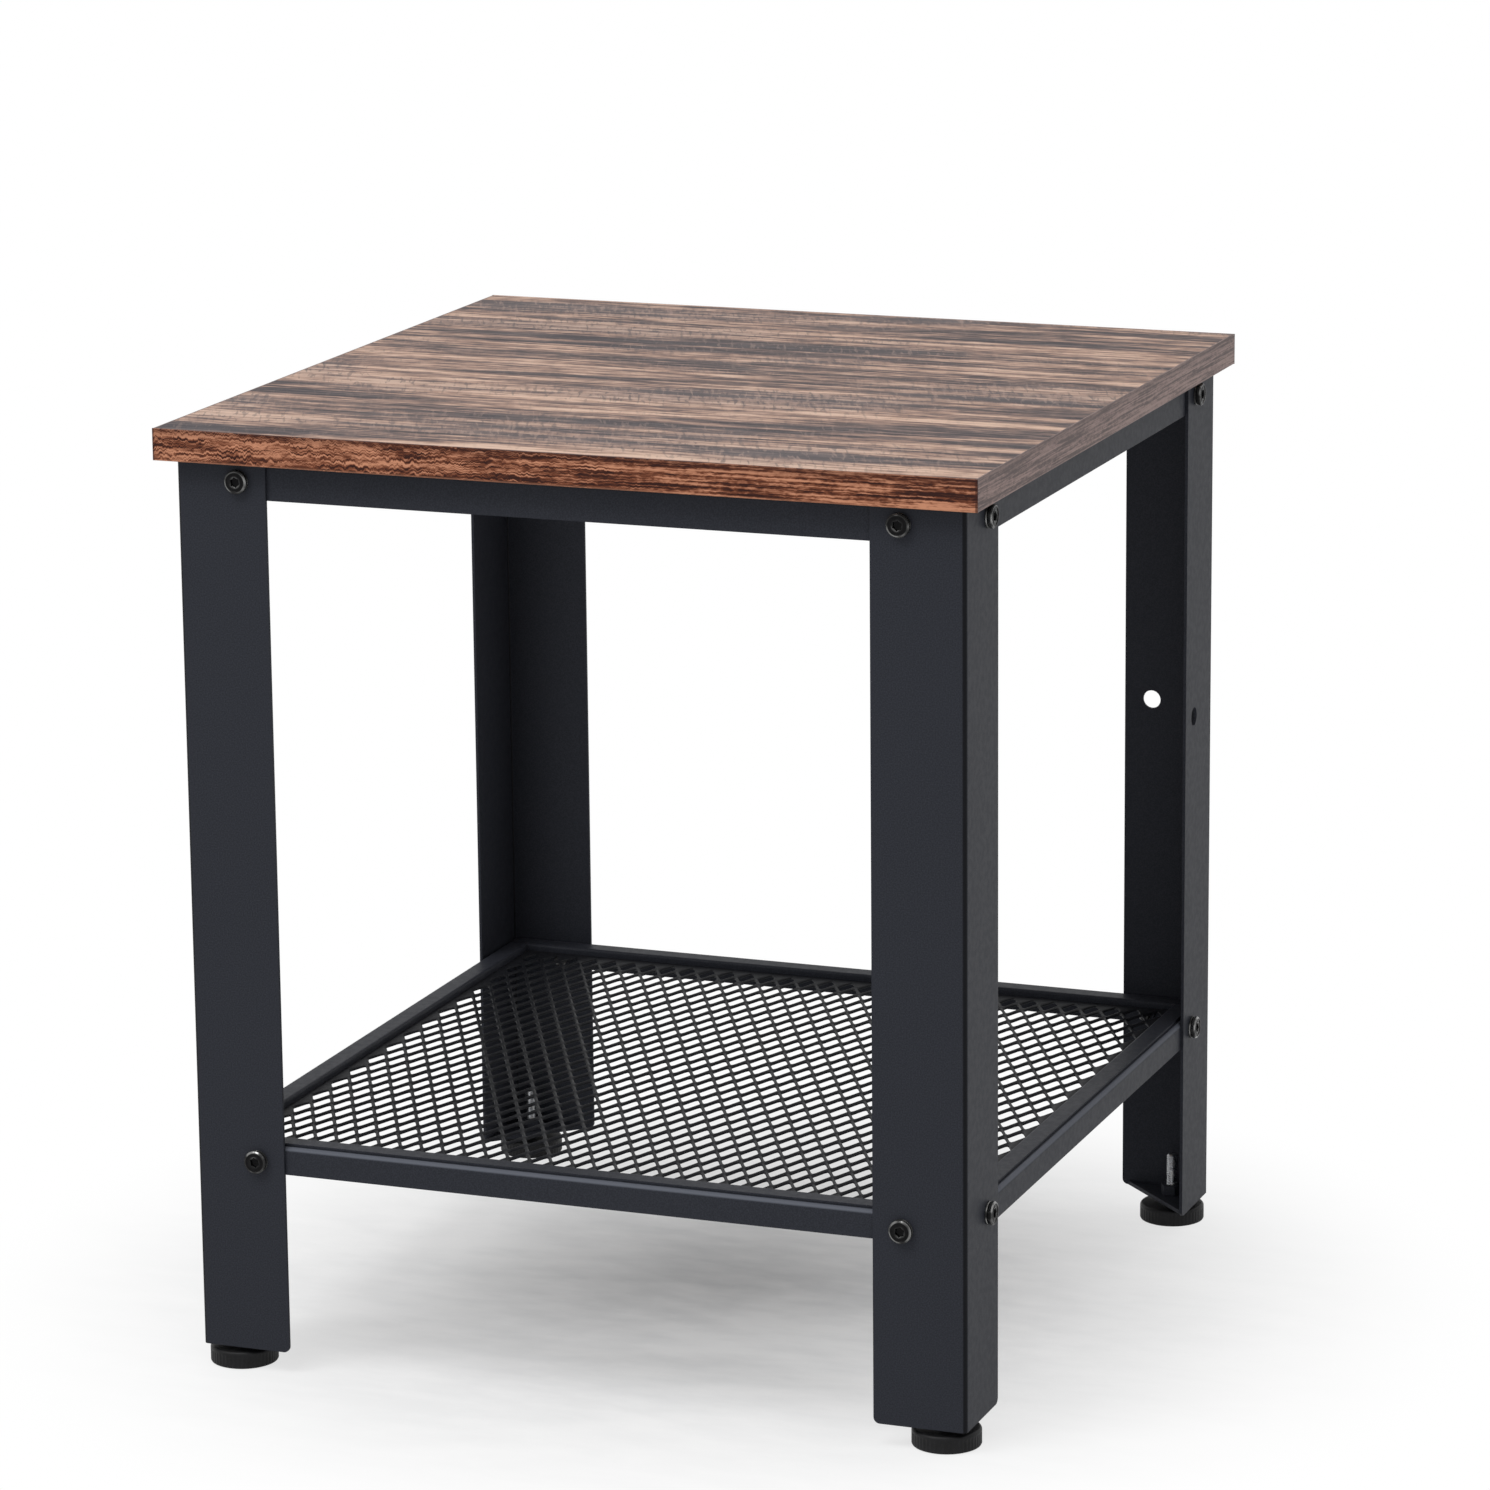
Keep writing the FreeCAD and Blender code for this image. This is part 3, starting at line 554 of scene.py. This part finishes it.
def add_border(places, field, edge, along_y):
    """The flat border along one side, with the wall at the sheet's cut edge."""
    for (inner_a, outer_a), (inner_b, outer_b) in zip(places, places[1:]):
        corners = [(inner_a, field), (inner_b, field), (outer_b, edge), (outer_a, edge)]
        if along_y:
            corners = [(y, x) for x, y in corners]
        add_plate(corners)
        first = len(sheet_points)
        sheet_points.extend((x, y, level) for x, y in corners[2:] for level in (top_z, bottom_z))
        sheet_faces.append((first, first + 1, first + 3, first + 2))


for sign in (-1, 1):
    add_border(border_places(edge_x, field_x, pitch_wide, pairs), sign * field_y, sign * edge_y, False)
    add_border(border_places(edge_y, field_y, pitch_long, rows), sign * field_x, sign * edge_x, True)
print("sheet:", len(sheet_points), "points")

# %% [markdown]
# Neighbouring cells repeat the points on their shared diamond, so points that coincide are joined. The
# shading is smooth over the strand and breaks only at the sheet's cut edge.

# %% Make the sheet an object
import bmesh


def finish_mesh(name, points, faces, sharp_over, join=1e-7):
    """Makes an object from points and faces, with joined points and smooth shading."""
    mesh = bpy.data.meshes.new(name)
    mesh.from_pydata(points, [], faces)
    work = bmesh.new()
    work.from_mesh(mesh)
    bmesh.ops.remove_doubles(work, verts=work.verts, dist=join)
    bmesh.ops.recalc_face_normals(work, faces=work.faces)
    work.to_mesh(mesh)
    work.free()
    mesh.shade_smooth()
    mesh.set_sharp_from_angle(angle=math.radians(sharp_over))
    made = bpy.data.objects.new(name, mesh)
    bpy.context.collection.objects.link(made)
    return made


mesh_coat = make_powder_coat("mesh_coat", shade(25, 26, 29), shade(35, 36, 40), strand_round)
shelf_sheet = finish_mesh("shelf_sheet", sheet_points, sheet_faces, sharp_over=60, join=1e-6)
shelf_sheet.data.materials.append(mesh_coat)
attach(shelf_sheet, "table")
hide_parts("shelf_mesh")
print("shelf sheet:", len(shelf_sheet.data.polygons), "faces")

# %% [markdown]
# ## Rings and threads
#
# Bolts, studs and feet are turned parts. A screw modifier can spin an outline, but the bolt's hexagon
# socket and the thread's helix need rings that aren't round, so a turned part here is a stack of rings
# whose radius may depend on the angle. Each ring is a function of the angle.

# %% Turned parts from rings
def round_ring(radius, height):
    return lambda angle: (radius, height)


def hexagon_ring(flats, height):
    def ring(angle):
        from_flat = (angle + math.pi / 6) % (math.pi / 3) - math.pi / 6
        return flats / 2 / math.cos(from_flat), height
    return ring


def thread_ring(radius, depth, pitch, height):
    """A ring across a thread: the crest moves round by one turn for each pitch."""
    def ring(angle):
        phase = (height / pitch - angle / (2 * math.pi)) % 1.0
        return radius - depth * abs(2 * phase - 1), height
    return ring


def turned_part(rings, sides):
    """Points and faces of a stack of rings about the Z axis, closed by its first and last ring."""
    points, faces = [], []
    for ring in rings:
        for side in range(sides):
            angle = 2 * math.pi * side / sides
            radius, height = ring(angle)
            points.append(Vector((radius * math.cos(angle), radius * math.sin(angle), height)))
    for level in range(len(rings) - 1):
        for side in range(sides):
            here = level * sides + side
            following = level * sides + (side + 1) % sides
            faces.append((here, following, following + sides, here + sides))
    faces.append(tuple(range(sides)))
    faces.append(tuple(range(len(points) - sides, len(points))))
    return points, faces


def repeated(part, placements):
    """The same part at each placement, as one list of points and faces."""
    part_points, part_faces = part
    points, faces = [], []
    for placement in placements:
        first = len(points)
        points += [placement @ point for point in part_points]
        faces += [tuple(first + index for index in face) for face in part_faces]
    return points, faces


print("ring tools ready")

# %% [markdown]
# ## The bolts
#
# The table is put together with socket bolts. A head has a rounded outer lip, a shallow ring inside it, a
# second lip round the hexagon socket, and a groove between the head and its collar. The thread shows
# only behind the rails, where the bolt ends stand out of their bushes. All of this is one outline, turned
# about the bolt's axis.

# %% Bolt form
shank_radius, head_radius, head_height, bolt_length = 3 * MM, 5.5 * MM, 3.3 * MM, 12 * MM
socket_flats, socket_depth, socket_lip = 4 * MM, 2 * MM, 0.35 * MM
drill_radius, drill_depth = 0.4 * MM, 0.5 * MM
thread_pitch, thread_depth = 1 * MM, 0.5 * MM
thread_start, thread_steps = 7 * MM, 36
bolt_tip, bolt_tip_inset = 0.6 * MM, 0.7 * MM

# The head's outline from the socket's lip outwards: radius and depth under the top, in millimetres.
HEAD_OUTLINE = [
    (2.45, 0.05), (2.65, 0.0), (2.95, 0.0), (3.2, 0.16), (4.2, 0.22), (4.5, 0.0), (5.0, 0.0),
    (5.5, 0.5), (5.5, 1.75), (5.35, 1.95), (4.75, 2.0), (4.75, 2.3), (5.35, 2.35), (5.5, 2.55),
    (5.5, 3.1), (5.3, 3.3),
]


def bolt_rings():
    socket_floor = head_height - socket_depth
    rings = [round_ring(drill_radius, socket_floor - drill_depth)]
    rings.append(hexagon_ring(socket_flats, socket_floor))
    rings.append(hexagon_ring(socket_flats, head_height - socket_lip))
    for radius, depth in HEAD_OUTLINE:
        rings.append(round_ring(radius * MM, head_height - depth * MM))
    rings.append(round_ring(shank_radius, 0))
    thread_top, thread_end = -thread_start, bolt_tip - bolt_length
    for step in range(thread_steps + 1):
        height = thread_top + (thread_end - thread_top) * step / thread_steps
        rings.append(thread_ring(shank_radius, thread_depth, thread_pitch, height))
    rings.append(round_ring(shank_radius - bolt_tip_inset, -bolt_length))
    return rings


bolt_part = turned_part(bolt_rings(), sides=48)
print("bolt:", len(bolt_part[0]), "points")

# %% [markdown]
# A bolt's place follows from the frame: a leg's box gives its outer faces, the row's own box gives the
# heights, and the distance from a leg's outer corner is the same on every flange. A tightened bolt stops
# at any angle, so each head is twisted differently.

# %% Bolt places
bolt_inset = 31 * MM
quarter_twist, end_twist = 0.4, 0.9
leg_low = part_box("leg_front_left")[0]
leg_face = -leg_low.x


def bolt_placements(end_height, side_height):
    """Two bolts for each side of the table, the front and back ones at the first height."""
    placements = []
    for quarter in range(4):
        height = end_height if quarter % 2 == 0 else side_height
        to_side = Matrix.Rotation(math.pi / 2 * quarter, 4, "Z")
        for end in (-1, 1):
            place = Matrix.Translation((end * (leg_face - bolt_inset), -leg_face, height))
            twist = Matrix.Rotation(quarter_twist * quarter + end_twist * end, 4, "Z")
            placements.append(to_side @ place @ Matrix.Rotation(math.pi / 2, 4, "X") @ twist)
    return placements


def group_heights(node):
    """Heights of the lower and the upper bolts of a row."""
    low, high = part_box(node)
    return low.z + head_radius, high.z - head_radius


top_low, top_high = group_heights("top_bolts")
shelf_low, shelf_high = group_heights("shelf_bolts")
top_placements = bolt_placements(top_low, top_high)
shelf_placements = bolt_placements(shelf_low, shelf_high)
print("bolt heights:", [round(height, 4) for height in (top_low, shelf_low, shelf_high)])

# %% [markdown]
# Black oxide is a thin skin on steel. It is dark and a little glossy, with a faint brown-blue cast that
# changes from place to place. Handling and the key wear it thin on the lips, where the steel shines
# through in arcs. The pointiness of the surface is above one half at such lips and below it in hollows,
# so it says where the skin can wear, and a noise says where it did.

# %% Black oxide finish
def make_black_oxide():
    finish = Finish("black_oxide", roughness=0.24, specular=0.08)
    cloud = finish.noise(finish.places((700, 700, 700)), detail=3)
    grain = finish.noise(finish.places((3800, 3800, 3800)), detail=1)
    handled = finish.noise(finish.places((170, 170, 170), (0.3, 0.8, 0.4)), detail=1)
    colour = finish.ramp(cloud, [(0.3, shade(11, 11, 13)), (0.7, shade(21, 20, 21))])
    lips = finish.band(finish.node("ShaderNodeNewGeometry").outputs["Pointiness"], 0.515, 0.555)
    worn = finish.calc("MULTIPLY", lips, finish.band(handled, 0.40, 0.62, 0.12, 1.0))
    finish.feed(finish.shader.inputs["Base Color"], finish.mix(worn, colour, shade(134, 134, 133)))
    finish.feed(finish.shader.inputs["Metallic"], worn)
    finish.feed(finish.shader.inputs["Roughness"], finish.band(cloud, 0.3, 0.7, 0.18, 0.30))
    finish.relief(grain, 0.01 * MM, 0.5)
    return finish.material


black_oxide = make_black_oxide()
print("black oxide ready")

# %% [markdown]
# All bolts of a row are one object, as they are one group in the frame.

# %% Turn the bolts
BOLT_ROWS = {"top_bolts": top_placements, "shelf_bolts": shelf_placements}
for node, placements in BOLT_ROWS.items():
    bolts = finish_mesh(f"{node}_turned", *repeated(bolt_part, placements), sharp_over=38)
    bolts.data.materials.append(black_oxide)
    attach(bolts, "table")
    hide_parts(node)
print("bolts turned:", len(top_placements) + len(shelf_placements))

# %% [markdown]
# ## Zinc-plated hardware
#
# The studs and the board's screws are zinc plated. Fresh zinc is a bright, slightly bluish metal with a
# cloudy lustre, so the shader is metallic and its roughness is clouded.

# %% Zinc finish
def make_zinc():
    finish = Finish("zinc_plate", roughness=0.3, specular=0.5)
    cloud = finish.noise(finish.places((420, 420, 420)), detail=4, roughness=0.6)
    scratch = finish.noise(finish.places((2200, 2200, 500)), detail=2)
    colour = finish.ramp(cloud, [
        (0.25, shade(166, 168, 171)), (0.55, shade(198, 200, 203)), (0.8, shade(214, 213, 206)),
    ])
    finish.feed(finish.shader.inputs["Base Color"], colour)
    finish.feed(finish.shader.inputs["Roughness"], finish.band(cloud, 0.2, 0.8, 0.22, 0.42))
    finish.shader.inputs["Metallic"].default_value = 1.0
    finish.relief(scratch, 0.01 * MM, 0.4)
    return finish.material


zinc = make_zinc()
dress("board_screws", zinc)
print("zinc on the board's screws")

# %% [markdown]
# ## The levelling feet
#
# A stud with a one millimetre pitch screws in the leg's nut, and its flat head sits inside a ribbed
# black pad. The frame's studs are plain cylinders, so each one is replaced by a turned stud with a
# thread that rides on the same body.

# %% Stud form
stud_low, stud_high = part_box("foot_stud_front_left")
stud_head_radius, stud_head_thick, stud_head_edge = 7 * MM, 3 * MM, 0.3 * MM
stud_plain, stud_tip, steps_per_turn = 2.5 * MM, 0.8 * MM, 8


def stud_rings():
    bottom, top = stud_low.z, stud_high.z
    head_top = bottom + stud_head_thick
    rings = [round_ring(stud_head_radius - stud_head_edge, bottom)]
    rings.append(round_ring(stud_head_radius, bottom + stud_head_edge))
    rings.append(round_ring(stud_head_radius, head_top - stud_head_edge))
    rings.append(round_ring(stud_head_radius - stud_head_edge, head_top))
    rings.append(round_ring(shank_radius, head_top))
    thread_low, thread_high = head_top + stud_plain, top - stud_tip
    rings.append(round_ring(shank_radius, thread_low))
    steps = int((thread_high - thread_low) / thread_pitch * steps_per_turn)
    for step in range(1, steps + 1):
        height = thread_low + (thread_high - thread_low) * step / steps
        rings.append(thread_ring(shank_radius, thread_depth, thread_pitch, height))
    rings.append(round_ring(shank_radius - stud_tip, top))
    return rings


stud_part = turned_part(stud_rings(), sides=24)
print("stud:", len(stud_part[0]), "points")

# %% [markdown]
# The pad is moulded black plastic. Fine ribs round its side give the fingers a grip when the foot is
# turned. The ribs are part of the ring's radius, and they fade out before the rounded edges.

# %% Pad form
pad_low, pad_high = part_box("foot_pad_front_left")
pad_radius = (pad_high.x - pad_low.x) / 2
pad_top = pad_high.z
rib_count, rib_depth = 48, 0.35 * MM
pad_floor, pad_clearance = 3 * MM, 0.05 * MM
edge_round, edge_steps = 1.6 * MM, 6
neck_dish, neck_dish_wide, neck_dish_deep = 1.8 * MM, 2.2 * MM, 0.5 * MM

# Up the pad's side from the floor: how far in from the widest place, and how high, in millimetres.
PAD_SOLE = [(1.0, 0.0), (0.3, 0.3)]
# The ribs' share of their depth at a height above the floor, or below the pad's top, in millimetres.
RIBS_FROM_FLOOR = [(0.9, 0.0), (1.3, 1.0)]
RIBS_FROM_TOP = [(2.3, 1.0), (1.8, 0.0)]


def ribbed_ring(height, share):
    """A ring with ribs of a share of their full depth."""
    def ring(angle):
        return pad_radius - share * rib_depth * (0.5 - 0.5 * math.cos(rib_count * angle)), height
    return ring


def pad_rings():
    neck = shank_radius + pad_clearance
    hollow = stud_head_radius + pad_clearance
    hollow_top = pad_floor + stud_head_thick + 2 * pad_clearance
    rings = [round_ring(pad_radius - inset * MM, height * MM) for inset, height in PAD_SOLE]
    rings += [ribbed_ring(height * MM, share) for height, share in RIBS_FROM_FLOOR]
    rings += [ribbed_ring(pad_top - depth * MM, share) for depth, share in RIBS_FROM_TOP]
    for step in range(1, edge_steps + 1):
        turn = math.pi / 2 * step / edge_steps
        inwards = edge_round * (1 - math.cos(turn))
        down = edge_round * (1 - math.sin(turn))
        rings.append(round_ring(pad_radius - inwards, pad_top - down))
    rings.append(round_ring(neck + neck_dish_wide, pad_top))
    rings.append(round_ring(neck + neck_dish, pad_top - neck_dish_deep))
    rings.append(round_ring(neck, pad_top - neck_dish_deep))
    rings.append(round_ring(neck, hollow_top))
    rings.append(round_ring(hollow, hollow_top))
    rings.append(round_ring(hollow, pad_floor))
    return rings


pad_part = turned_part(pad_rings(), sides=rib_count * 4)
print("pad:", len(pad_part[0]), "points")

# %% [markdown]
# The plastic is black with a satin skin, and a little floor dust clings to it. Colour, roughness and the
# skin's grain follow three noises, and each foot rides on its own body, so it turns with its joint.

# %% Pad plastic and the four feet
def make_pad_plastic():
    finish = Finish("pad_plastic", roughness=0.4, specular=0.2)
    cloud = finish.noise(finish.places((260, 260, 260)), detail=3)
    grain = finish.noise(finish.places((2600, 2600, 2600)), detail=2)
    dust = finish.noise(finish.places((900, 900, 2400), (0.2, 0.3, 0.9)), detail=2)
    colour = finish.ramp(cloud, [(0.3, shade(15, 15, 16)), (0.7, shade(25, 25, 27))])
    colour = finish.mix(finish.band(dust, 0.64, 0.8, 0.0, 0.2), colour, shade(80, 79, 77))
    finish.feed(finish.shader.inputs["Base Color"], colour)
    finish.feed(finish.shader.inputs["Roughness"], finish.band(grain, 0.3, 0.7, 0.38, 0.56))
    finish.relief(grain, 0.02 * MM, 0.5)
    return finish.material


pad_plastic = make_pad_plastic()
foot_place = (pad_low.x + pad_high.x) / -2
for corner, (sign_x, sign_y) in CORNERS.items():
    spot = Matrix.Translation((sign_x * foot_place, sign_y * foot_place, 0))
    stud = finish_mesh(f"threaded_stud_{corner}", *repeated(stud_part, [spot]), sharp_over=32)
    stud.data.materials.append(zinc)
    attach(stud, f"stud_{corner}")
    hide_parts(f"foot_stud_{corner}")
    pad = finish_mesh(f"ribbed_pad_{corner}", *repeated(pad_part, [spot]), sharp_over=40)
    pad.data.materials.append(pad_plastic)
    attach(pad, f"pad_{corner}")
    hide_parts(f"foot_pad_{corner}")
print("feet:", len(CORNERS))

# %% [markdown]
# ## Floor and light
#
# The table stands on a pale floor in a white room. A sky of one plain colour gives most of the light, and
# two soft lamps, from the upper left and from above the front, add direction. The floor keeps the table's
# shadow. Far from the table it fades into the white background, so that no horizon shows, and it is clear
# from below, so that the table's underside can be looked at.

# %% Pale floor
fade_start, fade_end = -0.02, 0.39
floor_reach, floor_drop = 9.0, 0.2 * MM


def make_floor_finish():
    finish = Finish("pale_floor", roughness=0.9, specular=0.1)
    mottle = finish.noise(finish.places((5, 9, 1)), detail=5, roughness=0.6, distortion=0.5)
    fleck = finish.noise(finish.places((24, 60, 1), (0.5, 0.1, 0)), detail=4)
    blend = finish.layers((mottle, 0.6), (fleck, 0.4))
    colour = finish.ramp(blend, [(0.38, shade(226, 227, 228)), (0.60, shade(252, 252, 252))])
    finish.feed(finish.shader.inputs["Base Color"], colour)
    away = finish.node("ShaderNodeVectorMath", Vector=finish.places())
    away.operation = "LENGTH"
    fade = finish.band(away.outputs["Value"], fade_start, fade_end)
    white = finish.node("ShaderNodeEmission", Color=(1, 1, 1, 1), Strength=1.0)
    rays = finish.node("ShaderNodeLightPath").outputs
    seen = finish.calc("MAXIMUM", rays["Is Camera Ray"], rays["Is Glossy Ray"])
    seen = finish.calc("MAXIMUM", seen, rays["Is Transmission Ray"])
    to_white = finish.node("ShaderNodeMixShader")
    finish.feed(to_white.inputs[0], finish.calc("MULTIPLY", fade, seen))
    finish.feed(to_white.inputs[1], finish.shader.outputs["BSDF"])
    finish.feed(to_white.inputs[2], white.outputs["Emission"])
    clear_below = finish.node("ShaderNodeMixShader")
    finish.feed(clear_below.inputs[0], finish.node("ShaderNodeNewGeometry").outputs["Backfacing"])
    finish.feed(clear_below.inputs[1], to_white.outputs["Shader"])
    finish.feed(clear_below.inputs[2], finish.node("ShaderNodeBsdfTransparent").outputs["BSDF"])
    output = finish.tree.nodes["Material Output"]
    finish.feed(output.inputs["Surface"], clear_below.outputs["Shader"])
    return finish.material


floor_points = [(x * floor_reach, y * floor_reach, 0) for x, y in CORNERS.values()]
floor = finish_mesh("floor", floor_points, [(0, 1, 2, 3)], sharp_over=30)
floor.location.z = -floor_drop
floor.data.materials.append(make_floor_finish())
floor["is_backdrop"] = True
print("floor laid")

# %% [markdown]
# The sky is darker for the light that falls on surfaces than for what the camera or a gloss sees, so
# that the background is white while a written colour still renders about as written.

# %% Sky
SKY_LIGHT = 0.50
world = bpy.data.worlds.new("studio")
world.use_nodes = True
bpy.context.scene.world = world
sky = world.node_tree
background = sky.nodes["Background"]
background.inputs["Color"].default_value = (1, 1, 1, 1)
rays = sky.nodes.new("ShaderNodeLightPath").outputs
seen = rays["Is Camera Ray"]
for ray in ("Is Glossy Ray", "Is Transmission Ray"):
    either = sky.nodes.new("ShaderNodeMath")
    either.operation = "MAXIMUM"
    sky.links.new(seen, either.inputs[0])
    sky.links.new(rays[ray], either.inputs[1])
    seen = either.outputs["Value"]
strength = sky.nodes.new("ShaderNodeMapRange")
strength.inputs["To Min"].default_value = SKY_LIGHT
strength.inputs["To Max"].default_value = 1.0
sky.links.new(seen, strength.inputs["Value"])
sky.links.new(strength.outputs["Result"], background.inputs["Strength"])
print("sky light:", SKY_LIGHT)

# %% [markdown]
# A point lamp would throw hard shadows. An area lamp has a size, so its shadow softens with distance, as
# under the soft boxes of a studio.

# %% Lamps
LIT_PLACE = Vector((0, 0, 0.25))


def add_lamp(name, place, side, watts):
    """A square soft lamp that faces the middle of the table."""
    data = bpy.data.lights.new(name, "AREA")
    data.shape = "SQUARE"
    data.size = side
    data.energy = watts
    lamp = bpy.data.objects.new(name, data)
    bpy.context.collection.objects.link(lamp)
    lamp.location = place
    lamp.rotation_euler = (LIT_PLACE - lamp.location).to_track_quat("-Z", "Y").to_euler()


add_lamp("key_lamp", Vector((-1.7, -1.9, 2.6)), side=1.2, watts=22)
add_lamp("top_lamp", Vector((-0.3, -1.1, 2.2)), side=0.9, watts=15)
print("key lamp and top lamp set")

# %% [markdown]
# ## Sizes and finish
#
# The dressed table has to keep the size of the frame, so both boxes are written down side by side.

# %% Print both boxes
seen_low, seen_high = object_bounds()
boxes = {"cad": [list(cad_low), list(cad_high)], "visual": [list(seen_low), list(seen_high)]}
for name, (low, high) in boxes.items():
    print(name, "box:", [round(part, 4) for part in low], [round(part, 4) for part in high])
